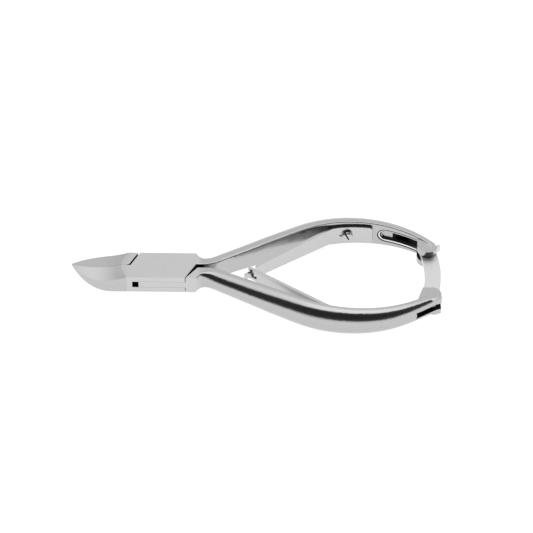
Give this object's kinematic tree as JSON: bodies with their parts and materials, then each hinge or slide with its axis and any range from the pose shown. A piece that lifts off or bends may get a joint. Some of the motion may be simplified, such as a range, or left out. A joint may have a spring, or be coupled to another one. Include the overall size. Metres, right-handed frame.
{
  "type": "nail nipper",
  "caption": "Spring-opened nail nipper with a box joint, concave ground jaws, bowed handles, interlocking leaf springs and a swinging lock bar.",
  "frame": {"origin": "on the pivot axis, in the flat rear face of the box joint", "axes": "+X from the pivot to the handle ends, +Y to the upper handle, +Z along the pivot axis to the front face"},
  "size_m": [0.14, 0.0566, 0.0116],
  "materials": {
    "ground_steel": "satin, fine grinding lines",
    "pin_steel": "turned",
    "spring_steel": "satin rolled strip",
    "screw_steel": "turned and polished",
    "plate_steel": "satin, fine lines"
  },
  "bodies": {
    "upper_half": {"female_half": "ground_steel", "pivot_pin": "pin_steel", "upper_spring_screw": "screw_steel", "upper_locating_peg": "pin_steel", "lock_hinge_pin": "pin_steel"},
    "lower_half": {"male_half": "ground_steel", "lower_spring_screw": "screw_steel", "lower_locating_peg": "pin_steel", "catch_pin": "pin_steel"},
    "upper_leaf": {"upper_leaf_spring": "spring_steel"},
    "lower_leaf": {"lower_leaf_spring": "spring_steel"},
    "lock": {"lock_bar": "plate_steel"}
  },
  "joints": [
    {"name": "jaw_opening", "type": "hinge", "parent": "upper_half", "child": "lower_half", "pos_m": [0, 0, 0], "axis": [0, 0, -1], "range_deg": [0, 12]},
    {"name": "upper_leaf_flex", "type": "hinge", "parent": "upper_half", "child": "upper_leaf", "pos_m": [0.064, 0.0205, 0.0038], "axis": [0, 0, 1], "range_deg": [0, 7.92], "deforming": ["upper_leaf_spring"]},
    {"name": "lower_leaf_flex", "type": "hinge", "parent": "lower_half", "child": "lower_leaf", "pos_m": [0.064, -0.0205, 0.0038], "axis": [0, 0, -1], "range_deg": [0, 7.92], "deforming": ["lower_leaf_spring"]},
    {"name": "lock_swing", "type": "hinge", "parent": "upper_half", "child": "lock", "pos_m": [0.10093, 0.01228, 0.0038], "axis": [0, 0, -1], "range_deg": [0, 96]}
  ],
  "couplings": [
    {"joint": "upper_leaf_flex", "follows": "jaw_opening", "ratio": 0.66},
    {"joint": "lower_leaf_flex", "follows": "jaw_opening", "ratio": 0.66},
    {"joint": "lock_swing", "follows": "jaw_opening", "ratio": 8}
  ]
}
